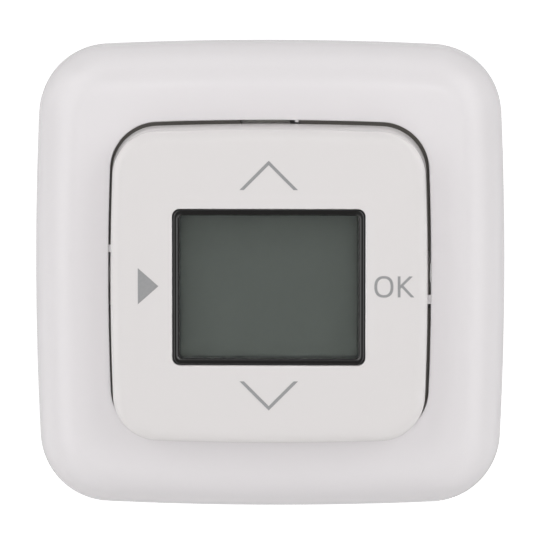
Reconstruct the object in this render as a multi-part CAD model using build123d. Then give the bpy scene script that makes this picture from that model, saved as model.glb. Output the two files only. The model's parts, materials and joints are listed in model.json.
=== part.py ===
from build123d import *
import math
import os

# ---------------------------------------------------------------------------
# Wall thermostat: flush-mounted power can, steel support plate, electronics
# module, cushion-shaped cover frame and a four-way rocker plate.
# Everything is drawn lying on its back: x right, y up on the wall, z away from
# the wall. At the end it is turned upright: x right, z up, front towards -y,
# wall surface at y = 0. Millimetres.
# ---------------------------------------------------------------------------

# cover frame
FRAME_SIZE = 80.48         # across the flats, at the wall
FRAME_BOW_R = 599.0        # the sides bow outwards a little
FRAME_CORNER_R = 12.1
FRAME_H = 9.2              # front of the frame above the wall
FRAME_EDGE_R = 7.2         # round-over of the outer edge
FRAME_WALL = 1.9
WINDOW_SIZE = 55.22
WINDOW_BOW_R = 503.0
WINDOW_CORNER_R = 8.2
WINDOW_WALL = 1.5
WINDOW_EDGE_R = 0.15
NIBS = [(-3.33, 1.55), (-4.6, 0.55), (-5.4, 1.26), (-4.4, 1.2)]  # right, top, left, bottom: place, width
NIB_Z = (8.55, 9.1)
NIB_IN = 0.8               # how far the nibs reach into the slit

# key plate
PLATE_HALF = 27.11         # half width at the rim, leaving a slit in the window
PLATE_BOW_R = 508.0
PLATE_CORNER_R = 7.9
PLATE_SHIFT = (-0.10, -0.15)  # the plate sits a hair off the middle of the window
PLATE_DRAFT = 3.2          # slope of the side walls, degrees
PLATE_RIM = 9.8            # lower edge of the plate's rim above the wall
PLATE_TOP = 15.5           # face of the plate above the wall
PLATE_EDGE_R = 0.75
PLATE_SKIN = 1.8
PLATE_WALL = 1.5

# display
DISP_W = 32.85             # opening in the key plate
DISP_H = 26.90
DISP_R = 1.3
DISP_X = -0.08             # a hair off the middle, like the plate
DISP_Y = -0.36             # display sits a little below the middle
BEZEL_GAP = 0.18           # slit between plate and bezel
BEZEL_TOP = 15.25
RIM_W = 0.86               # width of the bezel's rim
LENS_W = 30.5
LENS_H = 24.55
LENS_Z = (13.75, 15.05)
VIEW_W = 30.1              # opening behind the lens
VIEW_H = 24.3
LCD_Z = (11.5, 13.3)

# key marks on the plate face
MARK_X = -0.08             # chevrons
MARK_Y = -0.06
TRI_Y = -0.155
OK_Y = -0.185
MARK_T = 0.05
CHEVRON_W = 9.94
CHEVRON_H = 5.02
CHEVRON_STROKE = 0.53
CHEVRON_IN = 16.45        # feet of the chevrons from the middle
TRI_X = -22.345
TRI_W = 3.50
TRI_H = 6.24
O_X = 19.497                # middle of the round letter
O_W = 3.24
O_H = 3.70
O_STROKE = (0.48, 0.43)    # at the sides, at top and bottom
K_X = 21.854                # left of the straight letter
K_H = 3.60
K_STEM = 0.46
K_ARM = 0.60               # slanted strokes, measured level

# rocker mechanism
PIVOT_H = 10.5             # both tilt axes, above the wall
PIN_R = 0.6
RUN_CLEAR = 0.04           # running fit of the pins
RING_X = (16.9, 18.9)
RING_Y = (14.7, 16.7)
RING_Z = (9.6, 11.4)
PLUNGER_R = 1.0
PLUNGER_UD = 21.5          # up / down keys from the middle
PLUNGER_LR = 22.9          # left / right keys from the middle
PLUNGER_Z = (6.4, 11.2)
PLUNGER_CLEAR = 0.06

# electronics module
MODULE_IN = 0.15           # module outline inside the window outline
PCB_IN = 2.35              # board inside the module outline
MODULE_Z = (2.4, 7.0, 8.4) # floor, joint with the cover, front of the cover
PCB_Z = (4.4, 5.6)
SCREW_XY = 21.0
NOTCH_W = 10.0

# support plate and wall box part
SUPPORT_SIZE = 71.0
SUPPORT_T = 1.0
BOX_SPACING = 60.0         # wall-box screw spacing
SLOT_R = 1.9
SLOT_L = 7.0
CAN_R = 25.5
CAN_DEPTH = 27.0
CAN_WALL = 1.6
FLANGE_Z = 2.4
FLANGE_HALF = 25.6
FLANGE_R = 33.0
CAN_SCREW_XY = 20.6
POWER_PCB_Z = (-15.0, -13.4)
WAYS = 5
PITCH = 5.2
TERM_Y = -9.0

parts = {}


# ------------------------------------------------------------------ helpers
def outline(half, bow_r, corner_r):
    """Square with slightly bowed sides and round corners, centred."""
    c = half
    for _ in range(80):
        c = half - bow_r + math.sqrt(bow_r * bow_r - c * c)
    arcs = [
        ThreePointArc((c, -c), (half, 0), (c, c)),
        ThreePointArc((c, c), (0, half), (-c, c)),
        ThreePointArc((-c, c), (-half, 0), (-c, -c)),
        ThreePointArc((-c, -c), (0, -half), (c, -c)),
    ]
    face = make_face(arcs)
    return fillet(face.vertices(), corner_r)


def prism(face, z0, z1):
    return Pos(0, 0, z0) * extrude(face, amount=z1 - z0)


def box(x0, x1, y0, y1, z0, z1):
    return Pos((x0 + x1) / 2, (y0 + y1) / 2, (z0 + z1) / 2) * Box(
        x1 - x0, y1 - y0, z1 - z0
    )


def rbox(w, h, r, z0, z1, x=0.0, y=0.0):
    return Pos(x, y, z0) * extrude(RectangleRounded(w, h, r), amount=z1 - z0)


def cyl(r, z0, z1, x=0.0, y=0.0):
    return Pos(x, y, (z0 + z1) / 2) * Cylinder(r, z1 - z0)


def cyl_x(r, x0, x1, y, z):
    return Pos((x0 + x1) / 2, y, z) * Rot(0, 90, 0) * Cylinder(r, abs(x1 - x0))


def cyl_y(r, y0, y1, x, z):
    return Pos(x, (y0 + y1) / 2, z) * Rot(90, 0, 0) * Cylinder(r, abs(y1 - y0))


def poly(points, z0, z1):
    return prism(make_face(Polyline(*points, close=True)), z0, z1)


def turned(shape, k):
    return Rot(0, 0, 90 * k) * shape


def top_edges(shape, z, tol=1e-3):
    return [e for e in shape.edges() if abs(e.bounding_box().min.Z - z) < tol
            and abs(e.bounding_box().max.Z - z) < tol]


def edge_span(e):
    b = e.bounding_box()
    return max(abs(b.min.X), abs(b.max.X), abs(b.min.Y), abs(b.max.Y))


def strip(points, t):
    """Polygon of constant thickness t along an open line of points."""
    n = len(points)
    left, right = [], []
    for i in range(n):
        dirs = []
        if i > 0:
            dx, dy = points[i][0] - points[i - 1][0], points[i][1] - points[i - 1][1]
            m = math.hypot(dx, dy)
            dirs.append((dx / m, dy / m))
        if i < n - 1:
            dx, dy = points[i + 1][0] - points[i][0], points[i + 1][1] - points[i][1]
            m = math.hypot(dx, dy)
            dirs.append((dx / m, dy / m))
        nx = sum(-d[1] for d in dirs)
        ny = sum(d[0] for d in dirs)
        m = math.hypot(nx, ny)
        nx, ny = nx / m, ny / m
        cosine = nx * -dirs[0][1] + ny * dirs[0][0]
        k = t / 2 / cosine
        left.append((points[i][0] + nx * k, points[i][1] + ny * k))
        right.append((points[i][0] - nx * k, points[i][1] - ny * k))
    return left + right[::-1]


# -------------------------------------------------------------- cover frame
half = FRAME_SIZE / 2
win = WINDOW_SIZE / 2

frame = extrude(outline(half, FRAME_BOW_R, FRAME_CORNER_R), amount=FRAME_H)
frame = fillet(top_edges(frame, FRAME_H), FRAME_EDGE_R)
hollow = extrude(
    outline(half - FRAME_WALL, FRAME_BOW_R - FRAME_WALL, FRAME_CORNER_R - FRAME_WALL),
    amount=FRAME_H - FRAME_WALL,
)
hollow = fillet(top_edges(hollow, FRAME_H - FRAME_WALL), FRAME_EDGE_R - FRAME_WALL)
frame = frame - hollow
frame = frame + prism(
    outline(win + WINDOW_WALL, WINDOW_BOW_R + WINDOW_WALL, WINDOW_CORNER_R + WINDOW_WALL),
    2.0, FRAME_H - 1.0,
)
frame = frame - prism(outline(win, WINDOW_BOW_R, WINDOW_CORNER_R), -1.0, FRAME_H + 1.0)
rim = [e for e in top_edges(frame, FRAME_H) if edge_span(e) < win + 0.2]
frame = fillet(rim, WINDOW_EDGE_R)
for k in range(4):
    # room for the wall-box screw heads below the window wall
    frame = frame - turned(box(win - 2.0, win + 6.0, -6.0, 6.0, 1.0, 4.2), k)
for k, (at, wide) in enumerate(NIBS):
    # locating nibs in the window, one beside each clip
    frame = frame + turned(box(win - NIB_IN, win + 0.8, at - wide / 2, at + wide / 2, *NIB_Z), k)
for k in range(4):
    # stiffening ribs behind the flat of the frame
    for s in (-1, 1):
        frame = frame + turned(
            box(win + WINDOW_WALL - 0.2, half - FRAME_WALL - 2.6,
                s * 14.0 - 0.6, s * 14.0 + 0.6, 3.4, FRAME_H - FRAME_WALL + 0.3), k)
parts["cover_frame"] = frame

# ---------------------------------------------------------------- key plate
plate = Pos(*PLATE_SHIFT, PLATE_RIM) * extrude(
    outline(PLATE_HALF, PLATE_BOW_R, PLATE_CORNER_R), amount=PLATE_TOP - PLATE_RIM, taper=PLATE_DRAFT)
plate = fillet(top_edges(plate, PLATE_TOP), PLATE_EDGE_R)
lean = (PLATE_TOP - PLATE_RIM) * math.tan(math.radians(PLATE_DRAFT)) + PLATE_WALL
plate = plate - Pos(*PLATE_SHIFT, 0) * prism(
    outline(PLATE_HALF - lean, PLATE_BOW_R - lean, PLATE_CORNER_R - lean),
    PLATE_RIM - 1.0, PLATE_TOP - PLATE_SKIN,
)
plate = plate - rbox(DISP_W, DISP_H, DISP_R, PLATE_TOP - 5, PLATE_TOP + 1, DISP_X, DISP_Y)
rim = [e for e in top_edges(plate, PLATE_TOP) if edge_span(e) < DISP_W / 2 + 0.3]
plate = fillet(rim, 0.2)
under = PLATE_TOP - PLATE_SKIN
for s in (-1, 1):
    # bearing lugs of the left / right tilt
    lug = box(-1.8, 1.8, s * 17.85 - 0.75, s * 17.85 + 0.75, PIVOT_H - 1.0, under + 0.4)
    plate = plate + lug
    plate = plate - cyl_y(PIN_R + RUN_CLEAR, s * 16.9, s * 18.8, 0, PIVOT_H)
    # bosses that press on the switch stems
    plate = plate + cyl(1.5, PLUNGER_Z[1] + PLUNGER_CLEAR, under + 0.4, 0, s * PLUNGER_UD)
    plate = plate + cyl(1.5, PLUNGER_Z[1] + PLUNGER_CLEAR, under + 0.4, s * PLUNGER_LR, 0)
    # stiffening ribs under the face
    for t in (-1, 1):
        plate = plate + box(s * 9.0 - 0.5, s * 9.0 + 0.5, t * 21.7 - 4.2, t * 21.7 + 4.2,
                            under - 0.9, under + 0.4)
        plate = plate + box(s * 22.8 - 2.9, s * 22.8 + 2.9, t * 8.0 - 0.5, t * 8.0 + 0.5,
                            under - 0.9, under + 0.4)
parts["key_plate"] = plate


# ---------------------------------------------------------------- key marks
def chevron(s):
    w, h, t = CHEVRON_W / 2, CHEVRON_H, CHEVRON_STROKE
    foot = t * math.hypot(w, h) / h          # stroke measured along the foot
    drop = t * math.hypot(w, h) / w          # stroke measured down the middle
    y = CHEVRON_IN
    pts = [(-w, y), (0, y + h), (w, y), (w - foot, y), (0, y + h - drop), (-w + foot, y)]
    pts = [(MARK_X + px, MARK_Y + s * py) for px, py in pts]
    return poly(pts, PLATE_TOP, PLATE_TOP + MARK_T)


parts["symbol_up"] = chevron(1)
parts["symbol_down"] = chevron(-1)
parts["symbol_menu"] = poly(
    [(TRI_X, TRI_Y - TRI_H / 2), (TRI_X + TRI_W, TRI_Y), (TRI_X, TRI_Y + TRI_H / 2)],
    PLATE_TOP, PLATE_TOP + MARK_T,
)


def round_letter(w, h):
    """Closed outline a little squarer than an ellipse."""
    pts = []
    for i in range(24):
        t = 2 * math.pi * i / 24
        c, d = math.cos(t), math.sin(t)
        pts.append((O_X + w / 2 * math.copysign(abs(c) ** 0.84, c),
                    OK_Y + h / 2 * math.copysign(abs(d) ** 0.84, d)))
    return make_face(Spline(*pts, periodic=True))


letter_o = round_letter(O_W, O_H) - round_letter(O_W - 2 * O_STROKE[0], O_H - 2 * O_STROKE[1])
h2 = K_H / 2
k_stem = Pos(K_X + K_STEM / 2, OK_Y) * Rectangle(K_STEM, K_H)
k_upper = make_face(Polyline(*[(K_X + u, OK_Y + v) for u, v in (
    (2.25 - K_ARM / 2, h2), (2.25 + K_ARM / 2, h2), (K_STEM, -0.31), (K_STEM / 2, -0.25),
    (K_STEM / 2, 0.07))], close=True))
k_lower = make_face(Polyline(*[(K_X + u, OK_Y + v) for u, v in (
    (0.965, 0.217), (2.53 + K_ARM / 2, -h2), (2.53 - K_ARM / 2, -h2), (0.66, -0.11),
    (0.60, 0.0))], close=True))
letter_k = k_stem + k_upper + k_lower
parts["symbol_ok"] = [
    prism(letter_o, PLATE_TOP, PLATE_TOP + MARK_T),
    prism(letter_k, PLATE_TOP, PLATE_TOP + MARK_T),
]

# ------------------------------------------------------------ rocker ring
ring = rbox(2 * RING_X[1], 2 * RING_Y[1], 2.2, *RING_Z) - rbox(
    2 * RING_X[0], 2 * RING_Y[0], 1.0, RING_Z[0] - 1, RING_Z[1] + 1)
ring_pins, plate_pins = [], []
for s in (-1, 1):
    ring = ring - cyl_x(PIN_R + RUN_CLEAR, s * (RING_X[0] - 1), s * (RING_X[1] + 0.2), 0, PIVOT_H)
    ring = ring - cyl_y(PIN_R, s * (RING_Y[0] - 1), s * (RING_Y[1] + 0.5), 0, PIVOT_H)
    ring_pins.append(cyl_x(PIN_R, s * (RING_X[0] + 0.2), s * 20.6, 0, PIVOT_H))
    plate_pins.append(cyl_y(PIN_R, s * (RING_Y[0] + 0.2), s * 18.6, 0, PIVOT_H))
parts["rocker_ring"] = ring
parts["ring_pivot_pins"] = ring_pins
parts["plate_pivot_pins"] = plate_pins

# ---------------------------------------------------------------- plungers
KEYS = {
    "plunger_up": (0, PLUNGER_UD),
    "plunger_down": (0, -PLUNGER_UD),
    "plunger_left": (-PLUNGER_LR, 0),
    "plunger_right": (PLUNGER_LR, 0),
}
switches = []
for name, (px, py) in KEYS.items():
    stem = cyl(PLUNGER_R, *PLUNGER_Z, px, py)
    stem = fillet(top_edges(stem, PLUNGER_Z[1]), 0.35)
    parts[name] = stem
    body = box(px - 2.2, px + 2.2, py - 2.2, py + 2.2, PCB_Z[1], PCB_Z[1] + 1.3)
    body = body - cyl(PLUNGER_R + 0.08, PCB_Z[1] + 0.3, PCB_Z[1] + 3, px, py)
    switches.append(body)
parts["tact_switches"] = switches

# ------------------------------------------------------------ control cover
mh = win - MODULE_IN
m_bow, m_cr = WINDOW_BOW_R - MODULE_IN, WINDOW_CORNER_R - MODULE_IN
cover = prism(outline(mh, m_bow, m_cr), MODULE_Z[1], MODULE_Z[2])
cover = cover - rbox(31.2, 25.4, 0.8, MODULE_Z[1] - 1, MODULE_Z[2] + 1, 0, DISP_Y)
for px, py in KEYS.values():
    cover = cover - cyl(PLUNGER_R + 0.06, MODULE_Z[1] - 1, MODULE_Z[2] + 1, px, py)
for k in range(4):
    cover = cover - turned(box(25.5, 30, -NOTCH_W / 2, NOTCH_W / 2, 0, 12), k)
for sx in (-1, 1):
    post = box(sx * 19.9 - 0.7, sx * 19.9 + 0.7, -1.5, 1.5, MODULE_Z[2] - 0.4, PIVOT_H + 1.2)
    cover = cover + post
    cover = cover - cyl_x(PIN_R, sx * 19.0, sx * 20.9, 0, PIVOT_H)
    for sy in (-1, 1):
        cover = cover + cyl(2.2, PCB_Z[1], MODULE_Z[1] + 0.3, sx * SCREW_XY, sy * SCREW_XY)
        cover = cover - cyl(1.05, 0, 12, sx * SCREW_XY, sy * SCREW_XY)
parts["control_cover"] = cover

# ---------------------------------------------------------- control housing
house = prism(outline(mh, m_bow, m_cr), MODULE_Z[0], MODULE_Z[1])
house = house - prism(outline(mh - 1.2, m_bow - 1.2, m_cr - 1.2), MODULE_Z[0] + 1.2, MODULE_Z[1] + 1)
for k in range(4):
    house = house - turned(box(25.2, 30, -NOTCH_W / 2, NOTCH_W / 2, 0, 12), k)
for sx in (-1, 1):
    for sy in (-1, 1):
        house = house + cyl(2.4, MODULE_Z[0] + 0.6, PCB_Z[0], sx * SCREW_XY, sy * SCREW_XY)
        house = house - cyl(0.95, MODULE_Z[0] + 0.3, 12, sx * SCREW_XY, sy * SCREW_XY)
    # hooks that snap the module to the lid of the power part
    house = house + box(sx * 15.5 - 0.6, sx * 15.5 + 0.6, -2.5, 2.5, 0.2, MODULE_Z[0] + 0.4)
    house = house + box(sx * 16.25 - 0.35, sx * 16.25 + 0.35, -2.5, 2.5, 0.2, 1.1)
LINK_Y = 15.5
house = house - rbox(17.0, 4.0, 0.6, MODULE_Z[0] - 1, MODULE_Z[0] + 1.6, 0, LINK_Y)
parts["control_housing"] = house

# -------------------------------------------------------------- control pcb
pcb = prism(outline(mh - PCB_IN, m_bow - PCB_IN, m_cr - PCB_IN), *PCB_Z)
for sx in (-1, 1):
    for sy in (-1, 1):
        pcb = pcb - cyl(1.1, 0, 12, sx * SCREW_XY, sy * SCREW_XY)
PIN_XS = [2.54 * (i - 2.5) for i in range(6)]
for px in PIN_XS:
    pcb = pcb - cyl(0.5, 0, 12, px, LINK_Y)
parts["control_pcb"] = pcb

screws = []
for sx in (-1, 1):
    for sy in (-1, 1):
        x, y = sx * SCREW_XY, sy * SCREW_XY
        s = cyl(1.8, MODULE_Z[2], MODULE_Z[2] + 0.9, x, y)
        s = fillet(top_edges(s, MODULE_Z[2] + 0.9), 0.4)
        s = s + cyl(0.95, MODULE_Z[0] + 0.35, MODULE_Z[2] + 0.2, x, y)
        s = s - box(x - 1.1, x + 1.1, y - 0.2, y + 0.2, MODULE_Z[2] + 0.45, 12)
        s = s - box(x - 0.2, x + 0.2, y - 1.1, y + 1.1, MODULE_Z[2] + 0.45, 12)
        screws.append(s)
parts["control_screws"] = screws

# --------------------------------------------------------------- frame clips
clips = []
line = [(22.6, 3.8), (26.0, 3.8), (26.0, 4.9), (27.22, 6.1), (26.1, 7.6)]
for k in range(4):
    blade = make_face(Polyline(*strip(line, 0.4), close=True))
    blade = Pos(0, 0.70, 0) * extrude(Plane.XZ * blade, amount=4.1, both=True)
    clips.append(turned(blade, k))
parts["frame_clips"] = clips

# ------------------------------------------------------------------ display
parts["lcd_cell"] = rbox(31.1, 25.0, 0.3, *LCD_Z, DISP_X, DISP_Y)
bw, bh = DISP_W - 2 * BEZEL_GAP, DISP_H - 2 * BEZEL_GAP
sw, sh = bw - 2 * RIM_W, bh - 2 * RIM_W
bezel = rbox(bw, bh, DISP_R - BEZEL_GAP, MODULE_Z[2], BEZEL_TOP)
bezel = bezel + rbox(35.6, 29.6, 1.5, MODULE_Z[2], MODULE_Z[2] + 0.6)
bezel = bezel - rbox(31.3, 25.2, 0.4, MODULE_Z[2] - 1, LCD_Z[1] + 0.1)
bezel = bezel - rbox(VIEW_W, VIEW_H, 0.5, 9.0, 16)
bezel = bezel - rbox(sw, sh, 0.7, LENS_Z[0] - 0.1, 16)
rim = top_edges(bezel, BEZEL_TOP)
outer_rim = [e for e in rim
             if max(abs(e.center().X) - bw / 2, abs(e.center().Y) - bh / 2) > -0.45]
bezel = fillet(outer_rim, 0.25)
inner_rim = [e for e in top_edges(bezel, BEZEL_TOP)
             if max(abs(e.center().X) - sw / 2, abs(e.center().Y) - sh / 2) < 0.1]
bezel = fillet(inner_rim, 0.40)
parts["display_bezel"] = Pos(DISP_X, DISP_Y, 0) * bezel
parts["lens_mask"] = rbox(sw - 0.1, sh - 0.1, 0.6, LENS_Z[0] - 0.1, LENS_Z[0], DISP_X, DISP_Y) - rbox(
    VIEW_W, VIEW_H, 0.5, LENS_Z[0] - 1.0, LENS_Z[0] + 1.0, DISP_X, DISP_Y)
lens = rbox(LENS_W, LENS_H, 0.5, *LENS_Z, DISP_X, DISP_Y)
lens = fillet(top_edges(lens, LENS_Z[1]), 0.2)
parts["display_lens"] = lens

parts["light_guide"] = rbox(30.0, 20.6, 0.4, PCB_Z[1], LCD_Z[0] - 0.1, 0, DISP_Y)
parts["lcd_contact_strips"] = [
    box(-14, 14, DISP_Y + s * 11.5 - 0.9, DISP_Y + s * 11.5 + 0.9, PCB_Z[1], LCD_Z[0]) for s in (-1, 1)
]
parts["backlight_leds"] = [
    box(-16.6, -15.0, DISP_Y + s * 5.0 - 1.4, DISP_Y + s * 5.0 + 1.4, PCB_Z[1], PCB_Z[1] + 1.0)
    for s in (-1, 1)
]
parts["microcontroller"] = box(-14, -8, 15.4, 21.4, PCB_Z[1], PCB_Z[1] + 1.0)
parts["backup_capacitor"] = cyl(4.0, PCB_Z[1], PCB_Z[1] + 1.2, 12.0, 18.6)
bead = cyl_x(0.5, -11.2, -8.8, -22.6, PCB_Z[1] + 0.62)
bead = bead + cyl_x(0.62, -11.7, -11.1, -22.6, PCB_Z[1] + 0.62) + cyl_x(0.62, -8.9, -8.3, -22.6, PCB_Z[1] + 0.62)
parts["room_sensor"] = bead

# -------------------------------------------------------------------- link
head = rbox(15.8, 2.6, 0.3, MODULE_Z[0] + 0.3, PCB_Z[0], 0, LINK_Y)
pins = []
for px in PIN_XS:
    head = head - box(px - 0.3, px + 0.3, LINK_Y - 0.3, LINK_Y + 0.3, 0, 12)
    pins.append(box(px - 0.3, px + 0.3, LINK_Y - 0.3, LINK_Y + 0.3, -5.5, PCB_Z[1] + 0.7))
parts["link_header"] = head
parts["link_pins"] = pins

# ------------------------------------------------------------ support plate
support = rbox(SUPPORT_SIZE, SUPPORT_SIZE, 7.0, 0, SUPPORT_T)
support = support - cyl(CAN_R + 0.2, -1, 3)
slot = extrude(SlotOverall(SLOT_L, 2 * SLOT_R), amount=4)
for k in range(4):
    support = support - turned(Pos(BOX_SPACING / 2, 0, -1) * slot, k)
bead_hi = extrude(SlotOverall(11.0, 2.6), amount=0.5)
bead_lo = extrude(SlotOverall(10.4, 2.0), amount=0.5)
for k in range(4):
    for s in (-1, 1):
        # pressed stiffening beads: raised in front, grooved behind
        at = turned(Pos(32.2, s * 16.5, 0) * Rot(0, 0, 90), k)
        support = support + turned(Pos(32.2, s * 16.5, SUPPORT_T) * Rot(0, 0, 90) * bead_hi, k)
        support = support - turned(Pos(32.2, s * 16.5, 0) * Rot(0, 0, 90) * bead_lo, k)
    support = support - cyl(1.05, -1, 3, *((1, 1, -1, -1)[k] * CAN_SCREW_XY,
                                           (1, -1, 1, -1)[k] * CAN_SCREW_XY))
parts["support_plate"] = support

# ------------------------------------------------------------ power housing
can = cyl(CAN_R, -CAN_DEPTH, -0.4)
can = fillet(top_edges(can, -CAN_DEPTH), 1.2)
can = can + cyl(CAN_R - 0.3, -1.0, SUPPORT_T + 0.2)      # neck in the support plate
flange = prism(Circle(FLANGE_R) & Rectangle(2 * FLANGE_HALF, 2 * FLANGE_HALF), SUPPORT_T, FLANGE_Z)
can = can + flange
can = can - cyl(CAN_R - CAN_WALL, -CAN_DEPTH + 1.8, 5)
can = can - cyl(24.5, 1.2, 5)
for k in range(3):
    px, py = [(0.0, 21.2), (-19.8, -6.0), (19.8, -6.0)][k]
    can = can + cyl(1.9, -CAN_DEPTH + 1.0, POWER_PCB_Z[0], px, py)
TB_W, TB_H = 27.0, 12.0
can = can - box(-TB_W / 2 - 0.2, TB_W / 2 + 0.2, TERM_Y - TB_H / 2 - 0.2, TERM_Y + TB_H / 2 + 0.2,
                -CAN_DEPTH - 1, -CAN_DEPTH + 3)
for sx in (-1, 1):
    for sy in (-1, 1):
        can = can - cyl(2.1, 1.55, 5, sx * CAN_SCREW_XY, sy * CAN_SCREW_XY)
        can = can - cyl(1.2, 0, 5, sx * CAN_SCREW_XY, sy * CAN_SCREW_XY)
# shallow bare field and air slots on the back
can = can - rbox(26.0, 8.0, 1.0, -CAN_DEPTH - 1, -CAN_DEPTH + 0.3, 0, 5.2)
air = extrude(SlotOverall(7.0, 1.3), amount=4)
for i in range(7):
    can = can - Pos(3.4 * (i - 3), 14.6, -CAN_DEPTH - 1) * Rot(0, 0, 90) * air
parts["power_housing"] = can

lid = cyl(24.4, 1.2, FLANGE_Z)
lid = lid - rbox(17.0, 4.0, 0.6, 0, 5, 0, LINK_Y)
for sx in (-1, 1):
    lid = lid - box(sx * 15.8 - 1.1, sx * 15.8 + 1.1, -2.8, 2.8, 0, 5)
parts["power_lid"] = lid

hs = []
for sx in (-1, 1):
    for sy in (-1, 1):
        x, y = sx * CAN_SCREW_XY, sy * CAN_SCREW_XY
        s = cyl(2.0, 1.55, 2.35, x, y) + cyl(1.05, 0.0, 1.7, x, y)
        s = s - box(x - 1.2, x + 1.2, y - 0.22, y + 0.22, 1.95, 5)
        s = s - box(x - 0.22, x + 0.22, y - 1.2, y + 1.2, 1.95, 5)
        hs.append(s)
parts["housing_screws"] = hs

# ------------------------------------------------------------- power board
ppcb = cyl(23.4, *POWER_PCB_Z)
parts["power_pcb"] = ppcb
PZ = POWER_PCB_Z[1]
relay = rbox(19.0, 10.2, 0.5, PZ, PZ + 10.5, -11.0, -2.0)
parts["relay"] = fillet(top_edges(relay, PZ + 10.5), 0.4)
parts["supply_capacitor"] = fillet(
    rbox(13.0, 6.0, 0.6, PZ, PZ + 10.8, 11.5, -2.0).edges().group_by(Axis.Z)[-1], 0.5)
elko = cyl(4.0, PZ, PZ + 11.0, 13.0, 8.0)
elko = fillet(top_edges(elko, PZ + 11.0), 0.5)
parts["smoothing_capacitor"] = elko
mov = cyl_y(4.4, -15.3, -11.7, 3.5, PZ + 5.6)
mov = mov + box(1.4, 1.8, -13.7, -13.3, PZ, PZ + 3) + box(5.2, 5.6, -13.7, -13.3, PZ, PZ + 3)
parts["varistor"] = mov
parts["fuse"] = fillet(cyl(4.2, PZ, PZ + 7.6, -9.0, -14.0).edges().group_by(Axis.Z)[-1], 0.5)
sock = rbox(15.8, 3.2, 0.3, PZ, -0.4, 0, LINK_Y)
for px in PIN_XS:
    sock = sock - box(px - 0.36, px + 0.36, LINK_Y - 0.36, LINK_Y + 0.36, -7.5, 5)
parts["link_socket"] = sock
PB = POWER_PCB_Z[0]
core = rbox(20.0, 15.0, 0.6, PB - 9.6, PB, 0, 9.5)
core = core - box(-6.0, 6.0, 1.9, 3.1, PB - 12, PB - 1.2) - box(-6.0, 6.0, 15.9, 17.1, PB - 12, PB - 1.2)
parts["supply_transformer"] = core

# ---------------------------------------------------------- terminal block
block = rbox(TB_W, TB_H, 0.6, -CAN_DEPTH, PB, 0, TERM_Y)
clamps, tscrews = [], []
XS = [PITCH * (i - (WAYS - 1) / 2) for i in range(WAYS)]
SY, WY = TERM_Y + 2.7, TERM_Y - 2.8
for tx in XS:
    block = block - cyl(2.05, -CAN_DEPTH - 1, -22.0, tx, SY)
    block = block - box(tx - 1.75, tx + 1.75, WY - 1.75, WY + 1.75, -CAN_DEPTH - 1, -22.0)
    block = block - box(tx - 1.95, tx + 1.95, TERM_Y - 5.0, TERM_Y + 5.0, -22.2, -16.4)
    cage = box(tx - 1.8, tx + 1.8, TERM_Y - 4.8, TERM_Y + 4.8, -22.0, -16.8)
    cage = cage - box(tx - 1.35, tx + 1.35, WY - 1.5, WY + 1.5, -23, -17.4)
    cage = cage - cyl(1.2, -23, -17.4, tx, SY)
    clamps.append(cage)
    s = cyl(1.85, -26.0, -24.3, tx, SY) + cyl(1.2, -24.4, -18.0, tx, SY)
    s = s - box(tx - 3, tx + 3, SY - 0.32, SY + 0.32, -27, -25.2)
    tscrews.append(s)
block = block.clean()
# funnel-shaped mouths of the wire entries
for tx in XS:
    mouth = loft([Pos(tx, WY, -CAN_DEPTH - 0.01) * Rectangle(4.3, 4.3),
                  Pos(tx, WY, -CAN_DEPTH + 1.4) * Rectangle(3.5, 3.5)])
    block = block - mouth
parts["terminal_block"] = block
parts["terminal_clamps"] = clamps
parts["terminal_screws"] = tscrews

# ------------------------------------------------------------------- export
os.makedirs("parts", exist_ok=True)
upright = Rot(90, 0, 0)
for name, shape in parts.items():
    pieces = shape if isinstance(shape, list) else [shape]
    solids = []
    for p in pieces:
        for s in (upright * p).solids():
            solids.append(s)
    out = solids[0] if len(solids) == 1 else Compound(children=solids)
    export_step(out, os.path.join("parts", name + ".step"))
    print(name, len(solids))
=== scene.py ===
import json
import math

import bmesh
import bpy
from mathutils import Matrix, Vector


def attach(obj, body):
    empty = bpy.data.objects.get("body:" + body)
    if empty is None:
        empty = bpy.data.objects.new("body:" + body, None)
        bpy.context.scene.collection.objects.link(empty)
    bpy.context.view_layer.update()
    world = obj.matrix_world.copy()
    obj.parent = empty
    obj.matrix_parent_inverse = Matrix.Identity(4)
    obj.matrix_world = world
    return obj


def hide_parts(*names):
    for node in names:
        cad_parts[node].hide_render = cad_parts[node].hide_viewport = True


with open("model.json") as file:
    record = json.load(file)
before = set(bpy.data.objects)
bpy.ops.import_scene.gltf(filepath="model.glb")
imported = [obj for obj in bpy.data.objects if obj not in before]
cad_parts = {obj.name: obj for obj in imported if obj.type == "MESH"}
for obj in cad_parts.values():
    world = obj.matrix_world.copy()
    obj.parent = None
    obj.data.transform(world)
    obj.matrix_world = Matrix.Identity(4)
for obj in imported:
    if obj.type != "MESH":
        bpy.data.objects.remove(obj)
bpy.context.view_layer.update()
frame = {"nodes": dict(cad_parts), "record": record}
nodes = frame["nodes"]
scene = bpy.context.scene


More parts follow.
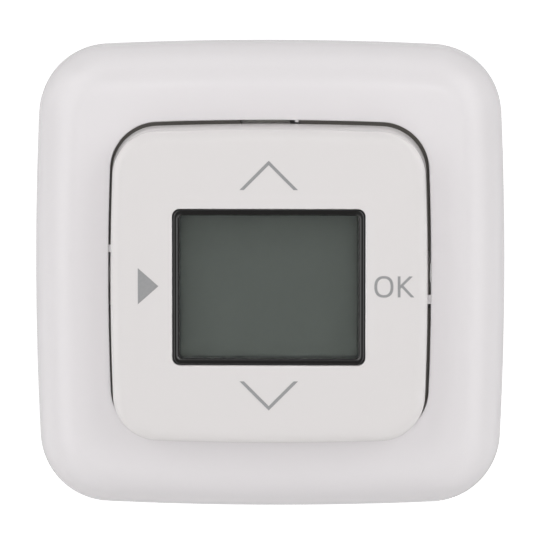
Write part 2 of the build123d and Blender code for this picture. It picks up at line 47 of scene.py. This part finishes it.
# --------------------------------------------------------------------------
# materials
# --------------------------------------------------------------------------
class Shader:
    """One node material around a Principled shader, in the part's own metres."""

    def __init__(self, name, **values):
        self.m = bpy.data.materials.new(name)
        self.m.use_nodes = True
        self.t = self.m.node_tree
        self.t.nodes.clear()
        self.out = self.add("ShaderNodeOutputMaterial")
        self.b = self.add("ShaderNodeBsdfPrincipled")
        self.link(self.b.outputs["BSDF"], self.out.inputs["Surface"])
        self.co = self.add("ShaderNodeTexCoord").outputs["Object"]
        for k, v in values.items():
            self.b.inputs[k.replace("_", " ")].default_value = v

    def add(self, kind, **props):
        n = self.t.nodes.new(kind)
        for k, v in props.items():
            setattr(n, k, v)
        return n

    def link(self, a, b):
        self.t.links.new(a, b)

    def put(self, node, name, value):
        """Sets or links an input."""
        s = node.inputs[name]
        if isinstance(value, bpy.types.NodeSocket):
            self.link(value, s)
        else:
            s.default_value = value

    def stretched(self, sx, sy, sz):
        n = self.add("ShaderNodeMapping")
        self.link(self.co, n.inputs["Vector"])
        n.inputs["Scale"].default_value = (sx, sy, sz)
        return n.outputs["Vector"]

    def noise(self, scale, detail=2.0, rough=0.5, co=None, distort=0.0):
        n = self.add("ShaderNodeTexNoise")
        self.link(co or self.co, n.inputs["Vector"])
        n.inputs["Scale"].default_value = scale
        n.inputs["Detail"].default_value = detail
        n.inputs["Roughness"].default_value = rough
        n.inputs["Distortion"].default_value = distort
        return n.outputs["Fac"]

    def voronoi(self, scale, feature="F1", out="Distance", co=None):
        n = self.add("ShaderNodeTexVoronoi", feature=feature)
        self.link(co or self.co, n.inputs["Vector"])
        n.inputs["Scale"].default_value = scale
        return n.outputs[out]

    def wave(self, scale, axis="X", distort=0.0, detail=0.0, profile="SIN", co=None):
        n = self.add("ShaderNodeTexWave", bands_direction=axis, wave_profile=profile)
        self.link(co or self.co, n.inputs["Vector"])
        n.inputs["Scale"].default_value = scale
        n.inputs["Distortion"].default_value = distort
        n.inputs["Detail"].default_value = detail
        return n.outputs["Fac"]

    def ramp(self, fac, *stops):
        n = self.add("ShaderNodeValToRGB")
        e = n.color_ramp.elements
        while len(e) < len(stops):
            e.new(0.5)
        for el, (pos, col) in zip(e, stops):
            el.position = pos
            el.color = (*col, 1.0)
        self.link(fac, n.inputs["Fac"])
        return n.outputs["Color"]

    def remap(self, fac, a, b, c, d, smooth=False):
        n = self.add("ShaderNodeMapRange", interpolation_type="SMOOTHSTEP" if smooth else "LINEAR")
        self.link(fac, n.inputs["Value"])
        for name, v in zip(("From Min", "From Max", "To Min", "To Max"), (a, b, c, d)):
            n.inputs[name].default_value = v
        return n.outputs["Result"]

    def math(self, op, a, b=0.0):
        n = self.add("ShaderNodeMath", operation=op)
        for i, v in enumerate((a, b)):
            if isinstance(v, bpy.types.NodeSocket):
                self.link(v, n.inputs[i])
            else:
                n.inputs[i].default_value = v
        return n.outputs["Value"]

    def mix(self, fac, a, b, blend="MIX"):
        n = self.add("ShaderNodeMix", data_type="RGBA", blend_type=blend)
        for s, v in ((n.inputs[0], fac), (n.inputs[6], a), (n.inputs[7], b)):
            if isinstance(v, bpy.types.NodeSocket):
                self.link(v, s)
            else:
                s.default_value = (*v, 1.0) if isinstance(v, tuple) else v
        return n.outputs[2]

    def xyz(self):
        n = self.add("ShaderNodeSeparateXYZ")
        self.link(self.co, n.inputs["Vector"])
        return n.outputs

    def bump(self, height, distance, strength=1.0, under=None):
        n = self.add("ShaderNodeBump")
        n.inputs["Strength"].default_value = strength
        n.inputs["Distance"].default_value = distance
        self.link(height, n.inputs["Height"])
        if under is not None:
            self.link(under, n.inputs["Normal"])
        return n.outputs["Normal"]

    def colour(self, s):
        self.link(s, self.b.inputs["Base Color"])

    def rough(self, s):
        self.link(s, self.b.inputs["Roughness"])

    def normal(self, s):
        self.link(s, self.b.inputs["Normal"])


def shade(c, k):
    return tuple(min(1.0, v * k) for v in c)


def plastic(name, c, rough, spread=0.04, vary=0.012, grain=7000.0, depth=2.0e-6, peel=0.0, **values):
    """Moulded plastic: faint cloudiness, fine tool texture, uneven gloss."""
    s = Shader(name, **values)
    cloud = s.noise(38.0, 3.0, 0.55)
    speck = s.noise(2600.0, 1.0)
    both = s.math("ADD", s.remap(cloud, 0.3, 0.7, 0.0, 0.75), s.remap(speck, 0.3, 0.7, 0.0, 0.25))
    s.colour(s.ramp(both, (0.0, shade(c, 1.0 - vary)), (1.0, shade(c, 1.0 + vary))))
    s.rough(s.remap(s.noise(420.0, 3.0), 0.25, 0.75, rough - spread, rough + spread))
    n = s.bump(s.noise(grain, 2.0, 0.6), depth)
    if peel:
        n = s.bump(s.noise(260.0, 1.0), peel, 1.0, n)
    s.normal(n)
    return s.m


def metal(name, c, rough, vary=0.05, brushed=None, depth=1.5e-6, **values):
    """Plated or rolled metal with a patchy finish and fine lines."""
    s = Shader(name, **{"Metallic": 1.0, **values})
    patch = s.noise(240.0, 4.0, 0.6)
    s.colour(s.ramp(patch, (0.3, shade(c, 1.0 - vary)), (0.7, shade(c, 1.0 + vary))))
    lines = s.noise(900.0, 3.0, 0.6, co=s.stretched(*brushed) if brushed else None)
    s.rough(s.remap(lines, 0.25, 0.75, rough - 0.07, rough + 0.09))
    s.normal(s.bump(lines, depth))
    return s.m


MAT = {}
WHITE_FRAME = (0.770, 0.744, 0.756)
WHITE_KEY = (0.739, 0.713, 0.709)
LCD_TONE = (0.1141, 0.1254, 0.1169)
MAT["frame_white"] = plastic("frame_white", WHITE_FRAME, 0.25, 0.02, 0.005, 6500.0, 0.8e-6, IOR=1.5)
MAT["key_white"] = plastic("key_white", WHITE_KEY, 0.14, 0.02, 0.005, 6500.0, 0.8e-6, IOR=1.5)

# pad-printed ink: uneven cover with a soft weave from the silicone pad
s = Shader("print_grey", IOR=1.45)
s.colour(s.ramp(s.noise(1800.0, 3.0, 0.6), (0.25, (0.295, 0.295, 0.299)), (0.75, (0.331, 0.331, 0.335))))
s.rough(s.remap(s.noise(2500.0, 2.0), 0.3, 0.7, 0.42, 0.56))
s.normal(s.bump(s.noise(5200.0, 2.0), 1.0e-6))
MAT["print_grey"] = s.m

MAT["bezel_black"] = plastic("bezel_black", (0.0080, 0.0074, 0.0070), 0.08, 0.02, 0.10, 5200.0, 0.3e-6, IOR=1.8)
MAT["mask_black"] = plastic("mask_black", (0.010, 0.010, 0.010), 0.45, 0.05, 0.2, 5200.0, 0.8e-6)

# clear window with an anti-glare finish: satin gloss with faint handling marks, slightly wavy
s = Shader("lens_clear", IOR=1.30, Transmission_Weight=1.0, Base_Color=(0.97, 0.99, 0.975, 1.0))
s.rough(s.remap(s.noise(160.0, 5.0, 0.65), 0.35, 0.75, 0.285, 0.32))
s.normal(s.bump(s.noise(120.0, 2.0), 0.6e-6))
MAT["lens_clear"] = s.m

# display: grey-green with the fine grain of its cells; painted shade darkens it towards its sides, top and bottom
# edge, standing in for the shade of the recess under the window
s = Shader("lcd_grey", IOR=1.35, Specular_IOR_Level=0.15)
x, y, z = s.xyz()
# painted shade: the colour falls off towards the sides, the top and the bottom edge, where the rim shades the sunk
# display
side_shade = s.remap(s.math("ABSOLUTE", s.math("ADD", x, 0.00008)), 0.0075, 0.0160, 1.0, 0.85, True)
top_shade = s.remap(z, 0.002, 0.013, 1.0, 0.78, True)
bottom_edge_shade = s.remap(z, -0.0126, -0.0112, 0.92, 1.0, True)
painted_shade = s.math("MULTIPLY", s.math("MULTIPLY", side_shade, top_shade), bottom_edge_shade)
cells = s.remap(s.noise(2400.0, 2.0), 0.3, 0.7, 0.975, 1.025)
s.colour(s.ramp(s.math("MULTIPLY", painted_shade, cells), (0.0, (0.0, 0.0, 0.0)), (1.0, LCD_TONE)))
s.rough(s.remap(s.noise(3000.0, 2.0), 0.3, 0.7, 0.55, 0.65))
MAT["lcd_grey"] = s.m

MAT["module_dark"] = plastic("module_dark", (0.130, 0.121, 0.108), 0.52, 0.06, 0.10, 5200.0, 4.0e-6)
MAT["switch_black"] = plastic("switch_black", (0.028, 0.028, 0.030), 0.45, 0.06, 0.15, 5200.0, 3.0e-6)
MAT["acetal_white"] = plastic("acetal_white", (0.72, 0.72, 0.69), 0.42, 0.05, 0.03, 4200.0, 2.5e-6)
MAT["can_grey"] = plastic("can_grey", (0.47, 0.475, 0.475), 0.50, 0.07, 0.035, 3800.0, 7.0e-6, 3.0e-6)
MAT["terminal_grey"] = plastic("terminal_grey", (0.175, 0.185, 0.190), 0.46, 0.06, 0.06, 4200.0, 4.0e-6)
MAT["relay_blue"] = plastic("relay_blue", (0.040, 0.085, 0.230), 0.32, 0.06, 0.06, 4200.0, 2.0e-6)
MAT["film_cap_grey"] = plastic("film_cap_grey", (0.30, 0.31, 0.32), 0.45, 0.06, 0.05, 4200.0, 3.0e-6)
MAT["fuse_brown"] = plastic("fuse_brown", (0.100, 0.050, 0.030), 0.40, 0.06, 0.10, 4200.0, 3.0e-6)
MAT["varistor_blue"] = plastic("varistor_blue", (0.030, 0.075, 0.320), 0.30, 0.06, 0.10, 1500.0, 9.0e-6)
MAT["sensor_black"] = plastic("sensor_black", (0.020, 0.020, 0.020), 0.28, 0.06, 0.2, 1800.0, 6.0e-6)
MAT["chip_black"] = plastic("chip_black", (0.020, 0.020, 0.022), 0.62, 0.06, 0.2, 9000.0, 5.0e-6)
MAT["diffuser_white"] = plastic("diffuser_white", (0.82, 0.83, 0.81), 0.30, 0.04, 0.02, 4200.0, 1.5e-6)
MAT["led_white"] = plastic("led_white", (0.80, 0.76, 0.46), 0.35, 0.05, 0.08, 4200.0, 3.0e-6)

MAT["zinc_steel"] = metal("zinc_steel", (0.61, 0.61, 0.60), 0.32, 0.06, (1.0, 1.0, 1.0))
MAT["pin_steel"] = metal("pin_steel", (0.66, 0.66, 0.66), 0.22, 0.03, (0.15, 1.0, 1.0))
MAT["spring_steel"] = metal("spring_steel", (0.66, 0.645, 0.62), 0.46, 0.06, (0.1, 1.0, 0.1), Metallic=0.45)
MAT["cell_steel"] = metal("cell_steel", (0.66, 0.66, 0.64), 0.28, 0.05, (1.0, 0.1, 0.1))
MAT["contact_brass"] = metal("contact_brass", (0.78, 0.60, 0.28), 0.26, 0.06)
MAT["clamp_brass"] = metal("clamp_brass", (0.70, 0.55, 0.27), 0.34, 0.08)

# zinc-plated sheet: soft crystalline flecks, rolling lines and a thin pale passivation
s = Shader("zinc_plate", Metallic=1.0)
fleck = s.voronoi(420.0, out="Color")
sep = s.add("ShaderNodeSeparateColor")
s.link(fleck, sep.inputs["Color"])
haze = s.noise(70.0, 4.0, 0.6)
both = s.math("ADD", s.math("MULTIPLY", sep.outputs[0], 0.35), s.math("MULTIPLY", haze, 0.65))
s.colour(s.ramp(both, (0.25, (0.50, 0.515, 0.525)), (0.55, (0.58, 0.585, 0.58)), (0.80, (0.645, 0.635, 0.60))))
rolled = s.noise(700.0, 3.0, 0.6, co=s.stretched(0.06, 1.0, 1.0))
s.rough(s.remap(s.math("ADD", s.math("MULTIPLY", rolled, 0.6), s.math("MULTIPLY", sep.outputs[1], 0.4)), 0.2, 0.8, 0.30, 0.46))
s.normal(s.bump(rolled, 2.0e-6))
MAT["zinc_plate"] = s.m

# circuit boards: solder mask over copper runs, with the glass weave showing faintly
s = Shader("board_green", IOR=1.5)
runs = s.voronoi(330.0, feature="DISTANCE_TO_EDGE", co=s.stretched(1.0, 0.001, 1.0))
track = s.remap(runs, 0.05, 0.09, 1.0, 0.0, True)
weave = s.math("MULTIPLY", s.wave(520.0, "X"), s.wave(520.0, "Z"))
mask = s.mix(s.math("MULTIPLY", weave, 0.25), (0.016, 0.105, 0.045), (0.022, 0.130, 0.058))
s.colour(s.mix(track, mask, (0.045, 0.205, 0.085)))
s.rough(s.remap(s.noise(1200.0, 2.0), 0.3, 0.7, 0.24, 0.38))
s.normal(s.bump(track, 2.5e-5, 0.6, s.bump(weave, 4.0e-6)))
MAT["board_green"] = s.m

# contact strips: thin black and clear layers side by side
s = Shader("elastomer_grey", IOR=1.41)
layers = s.wave(880.0, "X")
s.colour(s.ramp(layers, (0.40, (0.025, 0.025, 0.026)), (0.60, (0.30, 0.30, 0.28))))
s.rough(s.remap(s.noise(1500.0, 2.0), 0.3, 0.7, 0.52, 0.68))
s.normal(s.bump(layers, 6.0e-6))
MAT["elastomer_grey"] = s.m

# transformer: wound with yellow tape, dark core showing along the sides
s = Shader("transformer_yellow", IOR=1.48)
laps = s.wave(95.0, "Y", 0.6, 1.0, "SAW")
s.colour(s.ramp(laps, (0.0, (0.42, 0.30, 0.05)), (0.08, (0.60, 0.45, 0.09)), (1.0, (0.66, 0.51, 0.12))))
s.rough(s.remap(s.noise(800.0, 3.0), 0.3, 0.7, 0.28, 0.44))
s.normal(s.bump(laps, 3.0e-5, 0.7))
MAT["transformer_yellow"] = s.m

# electrolytic capacitor: shrunk sleeve with one pale stripe
s = Shader("elko_black", IOR=1.45)
x, y, z = s.xyz()
stripe = s.math("GREATER_THAN", x, 0.0160)
s.colour(s.mix(stripe, s.ramp(s.noise(500.0, 3.0), (0.3, (0.014, 0.018, 0.040)), (0.7, (0.024, 0.030, 0.060))), (0.36, 0.38, 0.42)))
s.rough(s.remap(s.noise(900.0, 3.0), 0.3, 0.7, 0.22, 0.34))
s.normal(s.bump(s.noise(700.0, 2.0), 6.0e-6))
MAT["elko_black"] = s.m

SLOT_OF = {p["node"]: p["material_slot"] for p in frame["record"]["subparts"]}
for name, o in nodes.items():
    o.data.materials.clear()
    o.data.materials.append(MAT[SLOT_OF[name]])

# --------------------------------------------------------------------------
# moulded shells of the frame and the key plate, lofted from their profiles
# (millimetres: x right, z up, h away from the wall)
# --------------------------------------------------------------------------
MM = 0.001
N_SIDE, N_CORNER = 60, 32
N_RING = 4 * (N_SIDE + N_CORNER)


def cushion(half, bow, corner, x=0.0, z=0.0):
    """Closed line: square with bowed sides and round corners."""
    a = half - bow
    q = (a + math.sqrt(2.0 * (bow - corner) ** 2 - a * a)) / 2.0
    th = math.atan2(q, q - a)
    part = []
    for i in range(N_SIDE):
        t = th * (2.0 * i / N_SIDE - 1.0)
        part.append((a + bow * math.cos(t), bow * math.sin(t)))
    for i in range(N_CORNER):
        t = th + (math.pi / 2 - 2 * th) * i / N_CORNER
        part.append((q + corner * math.cos(t), q + corner * math.sin(t)))
    return [(x + c * u - s * v, z + s * u + c * v)
            for c, s in ((1, 0), (0, 1), (-1, 0), (0, -1)) for u, v in part]


def opening(w, h, r, x=0.0, z=0.0):
    """Closed line: rectangle with round corners, as many points as a cushion."""
    pts = []
    for k, (lu, lv) in enumerate(((w / 2, h / 2), (h / 2, w / 2), (w / 2, h / 2), (h / 2, w / 2))):
        c, s = ((1, 0), (0, 1), (-1, 0), (0, -1))[k]
        part = [(lu, (lv - r) * (2.0 * i / N_SIDE - 1.0)) for i in range(N_SIDE)]
        for i in range(N_CORNER):
            t = math.pi / 2 * i / N_CORNER
            part.append((lu - r + r * math.cos(t), lv - r + r * math.sin(t)))
        pts += [(x + c * u - s * v, z + s * u + c * v) for u, v in part]
    return pts


def lofted(name, rings, capped=False):
    """Closed shell through rings of (points, height); the last ring meets the first, or both ends get a flat face."""
    verts = [(u * MM, -h * MM, v * MM) for pts, h in rings for u, v in pts]
    faces = []
    for i in range(len(rings) - capped):
        a, b = i * N_RING, (i + 1) % len(rings) * N_RING
        for j in range(N_RING):
            k = (j + 1) % N_RING
            faces.append((a + j, a + k, b + k, b + j))
    if capped:
        faces += [tuple(range(N_RING)), tuple(range(len(verts) - N_RING, len(verts)))]
    mesh = bpy.data.meshes.new(name)
    mesh.from_pydata(verts, [], faces)
    o = bpy.data.objects.new(name, mesh)
    scene.collection.objects.link(o)
    tidy(o.data)
    return o


def tidy(mesh, angle=28.0):
    bm = bmesh.new()
    bm.from_mesh(mesh)
    bmesh.ops.recalc_face_normals(bm, faces=bm.faces)
    bm.to_mesh(mesh)
    bm.free()
    mesh.shade_smooth()
    mesh.set_sharp_from_angle(angle=math.radians(angle))


def blocks(*items):
    """Tools for cutting and adding: ("box", x0, x1, z0, z1, h0, h1, quarter turns),
    ("rod", r, h0, h1, x, z) away from the wall, ("bore", r, z0, z1, x, h) upwards."""
    bm = bmesh.new()
    for kind, *v in items:
        if kind == "box":
            x0, x1, z0, z1, h0, h1, k = v
            m = (Matrix.Rotation(-k * math.pi / 2, 4, "Y")
                 @ Matrix.Translation(((x0 + x1) / 2 * MM, -(h0 + h1) / 2 * MM, (z0 + z1) / 2 * MM))
                 @ Matrix.Diagonal(((x1 - x0) * MM, (h1 - h0) * MM, (z1 - z0) * MM, 1.0)))
            bmesh.ops.create_cube(bm, size=1.0, matrix=m)
        elif kind == "rod":
            r, h0, h1, x, z = v
            m = Matrix.Translation((x * MM, -(h0 + h1) / 2 * MM, z * MM)) @ Matrix.Rotation(math.pi / 2, 4, "X")
            bmesh.ops.create_cone(bm, cap_ends=True, segments=40, radius1=r * MM, radius2=r * MM,
                                  depth=(h1 - h0) * MM, matrix=m)
        else:
            r, z0, z1, x, h = v
            m = Matrix.Translation((x * MM, -h * MM, (z0 + z1) / 2 * MM))
            bmesh.ops.create_cone(bm, cap_ends=True, segments=32, radius1=r * MM, radius2=r * MM,
                                  depth=(z1 - z0) * MM, matrix=m)
    bmesh.ops.recalc_face_normals(bm, faces=bm.faces)
    mesh = bpy.data.meshes.new("tool")
    bm.to_mesh(mesh)
    bm.free()
    o = bpy.data.objects.new("tool", mesh)
    scene.collection.objects.link(o)
    return o


def carve(o, operation, *items):
    """Adds the blocks to the shell, or cuts them out of it."""
    tool = blocks(*items)
    mod = o.modifiers.new("carve", "BOOLEAN")
    mod.operation, mod.solver, mod.object = operation, "EXACT", tool
    deps = bpy.context.evaluated_depsgraph_get()
    mesh = bpy.data.meshes.new_from_object(o.evaluated_get(deps))
    o.modifiers.remove(mod)
    old = o.data
    o.data = mesh
    bpy.data.meshes.remove(old)
    mesh.name = o.name
    bpy.data.objects.remove(tool)
    tidy(o.data)


def arc(c0, h0, rd, rh, a0, a1, n):
    """Points (inset, height) of an elliptic arc, angles in degrees."""
    out = []
    for i in range(n + 1):
        t = math.radians(a0 + (a1 - a0) * i / n)
        out.append((c0 + rd * math.cos(t), h0 + rh * math.sin(t)))
    return out


# cover frame
F_HALF, F_BOW, F_CORNER, F_TOP, F_EDGE, F_WALL = 40.24, 599.0, 12.1, 9.2, 7.2, 1.9
W_HALF, W_BOW, W_CORNER, W_WALL, W_EDGE = 27.54, 503.0, 8.2, 1.5, 0.15


def frame_line(d):
    return cushion(F_HALF - d, F_BOW - d, F_CORNER - d)


def window_line(d):
    return cushion(W_HALF + d, W_BOW + d, W_CORNER + d)


low = F_TOP - F_EDGE
rings = [(frame_line(0.0), h) for h in (0.0, 0.15, 1.0, low - 0.15)]
rings += [(frame_line(d), h) for d, h in arc(F_EDGE, low, -F_EDGE, F_EDGE, 0, 90, 30)]
rings += [(frame_line(F_EDGE + 0.15), F_TOP)]
rings += [(window_line(d), F_TOP) for d in (2.0, W_EDGE + 0.12)]
rings += [(window_line(W_EDGE - d), h) for d, h in arc(0.0, F_TOP - W_EDGE, W_EDGE, W_EDGE, 90, 0, 7)]
rings += [(window_line(0.0), h) for h in (F_TOP - W_EDGE - 0.12, 5.0, 2.0)]
rings += [(window_line(W_WALL), h) for h in (2.0, F_TOP - F_WALL)]
rings += [(frame_line(d), h) for d, h in arc(F_EDGE, low, F_WALL - F_EDGE, F_EDGE - F_WALL, 90, 0, 14)]
rings += [(frame_line(F_WALL), 0.0)]
shell = lofted("cover_frame_shell", rings)
carve(shell, "DIFFERENCE", *[("box", W_HALF - 2.0, W_HALF + 6.0, -6.0, 6.0, 1.0, 4.2, k) for k in range(4)])
NIBS = ((-3.33, 1.55, 0.8), (-4.6, 0.55, 0.34), (-5.4, 1.26, 0.8), (-4.4, 1.2, 0.8))
carve(shell, "UNION",
      *[("box", W_HALF - reach, W_HALF + 0.8, at - w / 2, at + w / 2, 8.55, 9.1, k) for k, (at, w, reach) in enumerate(NIBS)],
      *[("box", W_HALF + W_WALL - 0.2, F_HALF - F_WALL - 2.6, e * 14.0 - 0.6, e * 14.0 + 0.6, 3.4, F_TOP - F_WALL + 0.3, k)
        for k in range(4) for e in (-1, 1)])
shell.data.materials.append(MAT["frame_white"])
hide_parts("cover_frame")
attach(shell, "base")

# key plate: side walls with draft, most of it on the upper side, and a soft, flat-elliptic edge into the face
P_HALF, P_BOW, P_CORNER, P_X, P_Z = 27.11, 508.0, 7.9, -0.06, -0.12
P_RIM, P_TOP, P_SKIN, P_WALL = 9.8, 15.5, 1.8, 1.5
LEAN = math.tan(math.radians(2.0))
EDGE_IN, EDGE_H = 2.00, 0.80
D_W, D_H, D_R, D_X, D_Z = 32.85, 26.90, 1.3, -0.08, -0.36


def plate_line(d, drop=0.0):
    return cushion(P_HALF - d, P_BOW - d, P_CORNER - d, P_X, P_Z - drop)


def display_line(d):
    return opening(D_W + 2 * d, D_H + 2 * d, D_R + d, D_X, D_Z)


under = P_TOP - P_SKIN
top_wall = P_TOP - EDGE_H
rings = [(plate_line((h - P_RIM) * LEAN, (h - P_RIM) * LEAN), h) for h in (P_RIM, P_RIM + 0.1, 12.0, top_wall - 0.1)]
at = (top_wall - P_RIM) * LEAN
rings += [(plate_line(at + EDGE_IN + d, at), h) for d, h in arc(0.0, top_wall, -EDGE_IN, EDGE_H, 0, 90, 26)]
rings += [(plate_line(at + EDGE_IN + 0.12, at), P_TOP)]
rings += [(display_line(d), P_TOP) for d in (1.5, 0.32)]
rings += [(display_line(0.2 - d), h) for d, h in arc(0.0, P_TOP - 0.2, 0.2, 0.2, 90, 0, 6)]
rings += [(display_line(0.0), h) for h in (P_TOP - 0.35, under)]
inner = 2 * at + P_WALL
rings += [(plate_line(inner), h) for h in (under, P_RIM)]
plate = lofted("key_plate_shell", rings)
lugs, bores = [], []
for e in (-1, 1):
    lugs.append(("box", -1.8, 1.8, e * 17.85 - 0.75, e * 17.85 + 0.75, 9.5, under + 0.4, 0))
    lugs.append(("rod", 1.5, 11.26, under + 0.4, 0.0, e * 21.5))
    lugs.append(("rod", 1.5, 11.26, under + 0.4, e * 22.9, 0.0))
    for f in (-1, 1):
        lugs.append(("box", e * 9.0 - 0.5, e * 9.0 + 0.5, f * 21.7 - 4.2, f * 21.7 + 4.2, under - 0.9, under + 0.4, 0))
        lugs.append(("box", e * 22.8 - 2.9, e * 22.8 + 2.9, f * 8.0 - 0.5, f * 8.0 + 0.5, under - 0.9, under + 0.4, 0))
    bores.append(("bore", 0.64, e * 17.85 - 0.95, e * 17.85 + 0.95, 0.0, 10.5))
carve(plate, "UNION", *lugs)
carve(plate, "DIFFERENCE", *bores)
plate.data.materials.append(MAT["key_white"])
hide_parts("key_plate")
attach(plate, "key_plate")

# display bezel: a rounded rim around the window, a flange and a pocket for the display behind it
B_GAP, B_TOP, B_SEAT, B_POCKET, B_FOOT = 0.11, 15.25, 13.65, 13.40, 8.40
S_W, S_H = D_W - 2.08, D_H - 2.08


def bezel_line(w, h, r):
    return opening(w, h, r, D_X, D_Z)


def rim_line(d):
    return bezel_line(D_W - 2 * (B_GAP + d), D_H - 2 * (B_GAP + d), 1.38 - d)


rings = [(bezel_line(35.6, 29.6, 1.5), h) for h in (B_FOOT, B_FOOT + 0.6)]
rings += [(rim_line(0.0), h) for h in (B_FOOT + 0.6, 12.0, B_TOP - 0.45)]
rings += [(rim_line(d), h) for d, h in arc(0.34, B_TOP - 0.34, -0.34, 0.34, 0, 90, 10)]
rings += [(bezel_line(S_W + 2 * d, S_H + 2 * d, 0.70 + d), h)
          for d, h in arc(0.50, B_TOP - 0.32, 0.50, 0.32, 90, 180, 12)]
rings += [(bezel_line(30.54, 24.59, 0.52), h) for h in (B_TOP - 0.34, B_SEAT)]
rings += [(bezel_line(30.1, 24.3, 0.5), h) for h in (B_SEAT, B_POCKET)]
rings += [(bezel_line(31.3, 25.2, 0.4), h) for h in (B_POCKET, B_FOOT)]
rim = lofted("display_bezel_shell", rings)
rim.data.materials.append(MAT["bezel_black"])
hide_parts("display_bezel")
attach(rim, "base")

# display window: a clear slab with a fine chamfer; lamps shine through it
L_W, L_H, L_BACK, L_TOP, L_CUT = 30.5, 24.55, 13.75, 15.05, 0.10
rings = [(bezel_line(L_W - 2 * d, L_H - 2 * d, 0.50 - d), h)
         for d, h in ((L_CUT, L_BACK), (0.0, L_BACK + L_CUT), (0.0, L_TOP - L_CUT), (L_CUT, L_TOP))]
lens = lofted("display_lens_slab", rings, capped=True)
lens.data.materials.append(MAT["lens_clear"])
lens.visible_shadow = False
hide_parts("display_lens")
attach(lens, "base")

# --------------------------------------------------------------------------
# floor, light, camera
# --------------------------------------------------------------------------
FLOOR_Z = -1.30
me = bpy.data.meshes.new("studio_floor")
R = 12.0
me.from_pydata([(-R, -R, FLOOR_Z), (R, -R, FLOOR_Z), (R, R, FLOOR_Z), (-R, R, FLOOR_Z)], [], [(0, 1, 2, 3)])
floor = bpy.data.objects.new("studio_floor", me)
scene.collection.objects.link(floor)
s = Shader("floor_pale", Roughness=0.8)
s.colour(s.ramp(s.noise(3.0, 2.0), (0.3, (0.86, 0.86, 0.86)), (0.7, (0.88, 0.88, 0.88))))
s.b.inputs["Emission Color"].default_value = (1.0, 1.0, 1.0, 1.0)
s.b.inputs["Emission Strength"].default_value = 0.95
floor.data.materials.append(s.m)
for k in ("diffuse", "glossy", "transmission", "shadow"):
    setattr(floor, "visible_" + k, False)

# pale surround, seen by the camera only
bm = bmesh.new()
bmesh.ops.create_uvsphere(bm, u_segments=48, v_segments=24, radius=4.0)
bmesh.ops.reverse_faces(bm, faces=bm.faces)
me = bpy.data.meshes.new("studio_surround")
bm.to_mesh(me)
bm.free()
me.shade_smooth()
surround = bpy.data.objects.new("studio_surround", me)
scene.collection.objects.link(surround)
s = Shader("surround_pale", Roughness=0.9)
s.colour(s.ramp(s.noise(1.0, 1.0), (0.3, (0.86, 0.86, 0.86)), (0.7, (0.88, 0.88, 0.88))))
s.b.inputs["Emission Color"].default_value = (1.0, 1.0, 1.0, 1.0)
s.b.inputs["Emission Strength"].default_value = 0.95
surround.data.materials.append(s.m)
for k in ("diffuse", "glossy", "transmission", "shadow"):
    setattr(surround, "visible_" + k, False)

world = bpy.data.worlds.new("studio")
scene.world = world
world.use_nodes = True
bg = world.node_tree.nodes["Background"]
bg.inputs["Color"].default_value = (1.0, 1.0, 1.0, 1.0)
bg.inputs["Strength"].default_value = 0.130


def softbox(name, az, el, dist, w, h, power):
    """Soft lamp aimed at the object; azimuth 0 is in front of it, positive to the right."""
    a, e = math.radians(az), math.radians(el)
    at = Vector((math.sin(a) * math.cos(e), -math.cos(a) * math.cos(e), math.sin(e))) * dist
    lamp = bpy.data.lights.new(name, "AREA")
    lamp.shape = "RECTANGLE"
    lamp.size, lamp.size_y = w, h
    lamp.energy = power
    o = bpy.data.objects.new(name, lamp)
    o.matrix_world = Matrix.Translation(at) @ (-at).to_track_quat("-Z", "Y").to_matrix().to_4x4()
    o.visible_camera = False
    scene.collection.objects.link(o)
    return o


# large soft lamps all round; azimuth, elevation, strength
LAMPS = [
    (-45, 25, 3.05), (45, 25, 3.75), (-50, -8, 1.40), (50, -8, 1.40), (-85, 25, 2.40), (85, 25, 1.60),
    (-50, 50, 1.35), (50, 50, 1.10), (0, 75, 1.85), (-95, -25, 1.90), (95, -25, 1.35), (-60, -50, 2.20), (60, -50, 2.35),
]
for az, el, power in LAMPS:
    softbox(f"lamp_{az}_{el}", az, el, 1.3, 0.9, 0.9, power)

# even fill from the front that leaves no glare on the display
for name, az, el, size, power in (("fill_front", 0, 3, 0.45, 4.92), ("fill_low", 0, -35, 0.9, 2.30)):
    fill = softbox(name, az, el, 1.3, size, size, power)
    fill.visible_glossy = fill.visible_transmission = False

# gloss from both sides on the upright rims
for name, az in (("glint_left", -38), ("glint_right", 38)):
    softbox(name, az, -8, 1.3, 0.9, 0.9, 1.60).visible_diffuse = False

# light wall behind the object
lamp = bpy.data.lights.new("lamp_wall", "AREA")
lamp.shape = "RECTANGLE"
lamp.size = lamp.size_y = 3.0
lamp.energy = 16.0
wall = bpy.data.objects.new("lamp_wall", lamp)
wall.matrix_world = Matrix.Translation((0.0, 0.30, 0.0)) @ Matrix.Rotation(math.radians(-90.0), 4, "X")
wall.visible_camera = False
scene.collection.objects.link(wall)

scene.view_settings.view_transform = "Standard"
scene.view_settings.look = "None"

AZ, EL, DIST = math.radians(0.748), math.radians(8.571), 1.23834
right = Vector((math.cos(AZ), math.sin(AZ), 0.0))
up = Vector((-math.sin(AZ) * math.sin(EL), math.cos(AZ) * math.sin(EL), math.cos(EL)))
back = Vector((math.sin(AZ) * math.cos(EL), -math.cos(AZ) * math.cos(EL), math.sin(EL)))
cam = bpy.data.cameras.new("camera")
cam.sensor_fit = "HORIZONTAL"
cam.sensor_width = 36.0
cam.lens = 479.65
cam.clip_start, cam.clip_end = 0.05, 60.0
camera = bpy.data.objects.new("camera", cam)
m = Matrix((right, up, back)).transposed().to_4x4()
m.translation = back * DIST - right * 0.000064 + up * 0.000336
camera.matrix_world = m
scene.collection.objects.link(camera)
scene.camera = camera

bpy.context.view_layer.update()
